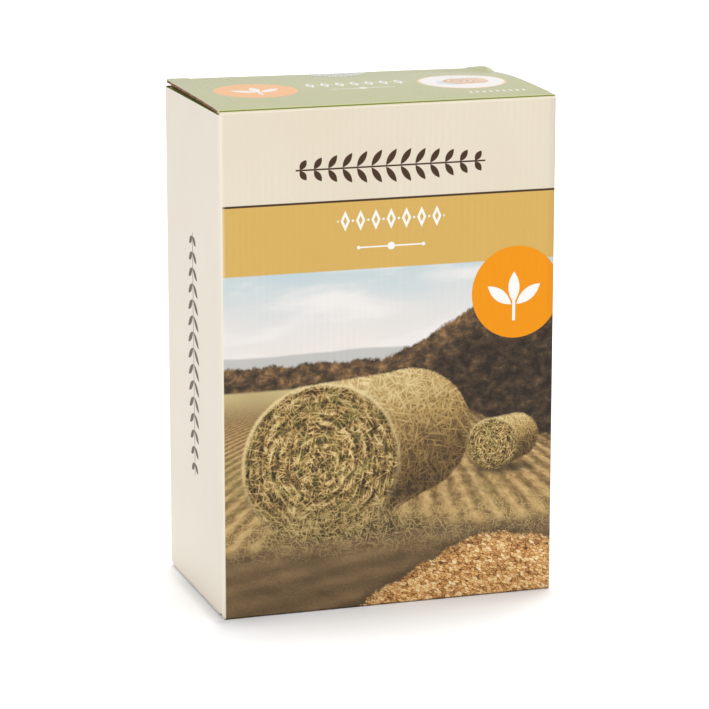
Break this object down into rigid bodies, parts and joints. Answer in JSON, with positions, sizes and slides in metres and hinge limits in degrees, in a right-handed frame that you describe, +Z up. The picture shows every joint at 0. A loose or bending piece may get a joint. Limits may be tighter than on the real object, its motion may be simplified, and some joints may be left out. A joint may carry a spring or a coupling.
{
  "type": "hay feeder box",
  "caption": "Upright tuck-top corrugated carton with folding lid, tuck flap and dust flaps, holding a wedge-shaped wooden hay rack with screw-in wire hooks.",
  "frame": {"origin": "centre of the base of the closed carton", "axes": "+Z up; the printed front panel faces -Y; +X is to the right as the front is looked at; the lid folds on the top edge of the front panel"},
  "size_m": [0.176, 0.1031, 0.2599],
  "materials": {
    "printed_board": "satin printed E-flute board, kraft inside",
    "green_board": "satin printed E-flute board, kraft inside",
    "kraft_board": "matte plain kraft",
    "clear_film": "clear gloss film",
    "pine": "planed, untreated",
    "dowel_wood": "turned, untreated",
    "blue_wood": "pale blue water-based paint",
    "hook_wire": "zinc-plated wire"
  },
  "bodies": {
    "carton": {"front_panel": "printed_board", "back_panel": "printed_board", "left_panel": "printed_board", "right_panel": "printed_board", "glue_flap": "kraft_board", "bottom_outer_flap": "printed_board", "bottom_inner_flap": "kraft_board", "bottom_side_flap_left": "kraft_board", "bottom_side_flap_right": "kraft_board", "seal_lower_half": "clear_film"},
    "lid": {"lid_panel": "green_board", "seal_upper_half": "clear_film"},
    "tuck": {"tuck_flap": "green_board"},
    "dust_left": {"dust_flap_left": "green_board"},
    "dust_right": {"dust_flap_right": "green_board"},
    "rack": {"rack_side_left": "blue_wood", "rack_side_right": "blue_wood", "rack_back_board": "pine", "rack_bottom_board": "pine", "rack_top_rail": "pine", "rack_upper_mid_rail": "pine", "rack_lower_mid_rail": "pine", "rack_bottom_rail": "pine", "rack_upper_bar": "pine", "rack_middle_bar": "pine", "rack_lower_bar": "pine", "rack_rail_dowels": "dowel_wood", "rack_bar_dowels": "dowel_wood"},
    "left_hook": {"hook_left": "hook_wire"},
    "right_hook": {"hook_right": "hook_wire"}
  },
  "joints": [
    {"name": "lid_fold", "type": "hinge", "parent": "carton", "child": "lid", "pos_m": [0, -0.0515, 0.258], "axis": [1, 0, 0], "range_deg": [0, 250]},
    {"name": "tuck_fold", "type": "hinge", "parent": "lid", "child": "tuck", "pos_m": [0, 0.04949, 0.25976], "axis": [1, 0, 0], "range_deg": [0, 50]},
    {"name": "left_dust_fold", "type": "hinge", "parent": "carton", "child": "dust_left", "pos_m": [-0.088, 0, 0.2562], "axis": [0, -1, 0], "range_deg": [0, 220]},
    {"name": "right_dust_fold", "type": "hinge", "parent": "carton", "child": "dust_right", "pos_m": [0.088, 0, 0.2562], "axis": [0, 1, 0], "range_deg": [0, 220]},
    {"name": "rack_lift", "type": "slide", "parent": "carton", "child": "rack", "axis": [0, 0, 1], "range_m": [0, 0.1484]},
    {"name": "left_hook_turn", "type": "hinge", "parent": "rack", "child": "left_hook", "pos_m": [-0.06, 0.0425, 0.2226], "axis": [0, 0, -1], "range_deg": [0, 180]},
    {"name": "right_hook_turn", "type": "hinge", "parent": "rack", "child": "right_hook", "pos_m": [0.06, 0.0425, 0.2226], "axis": [0, 0, 1], "range_deg": [0, 180]}
  ],
  "couplings": [
    {"joint": "tuck_fold", "follows": "lid_fold", "ratio": 0.2},
    {"joint": "left_dust_fold", "follows": "lid_fold", "ratio": 0.88},
    {"joint": "right_dust_fold", "follows": "lid_fold", "ratio": 0.88},
    {"joint": "rack_lift", "follows": "lid_fold", "m_per_rad": 0.034}
  ]
}
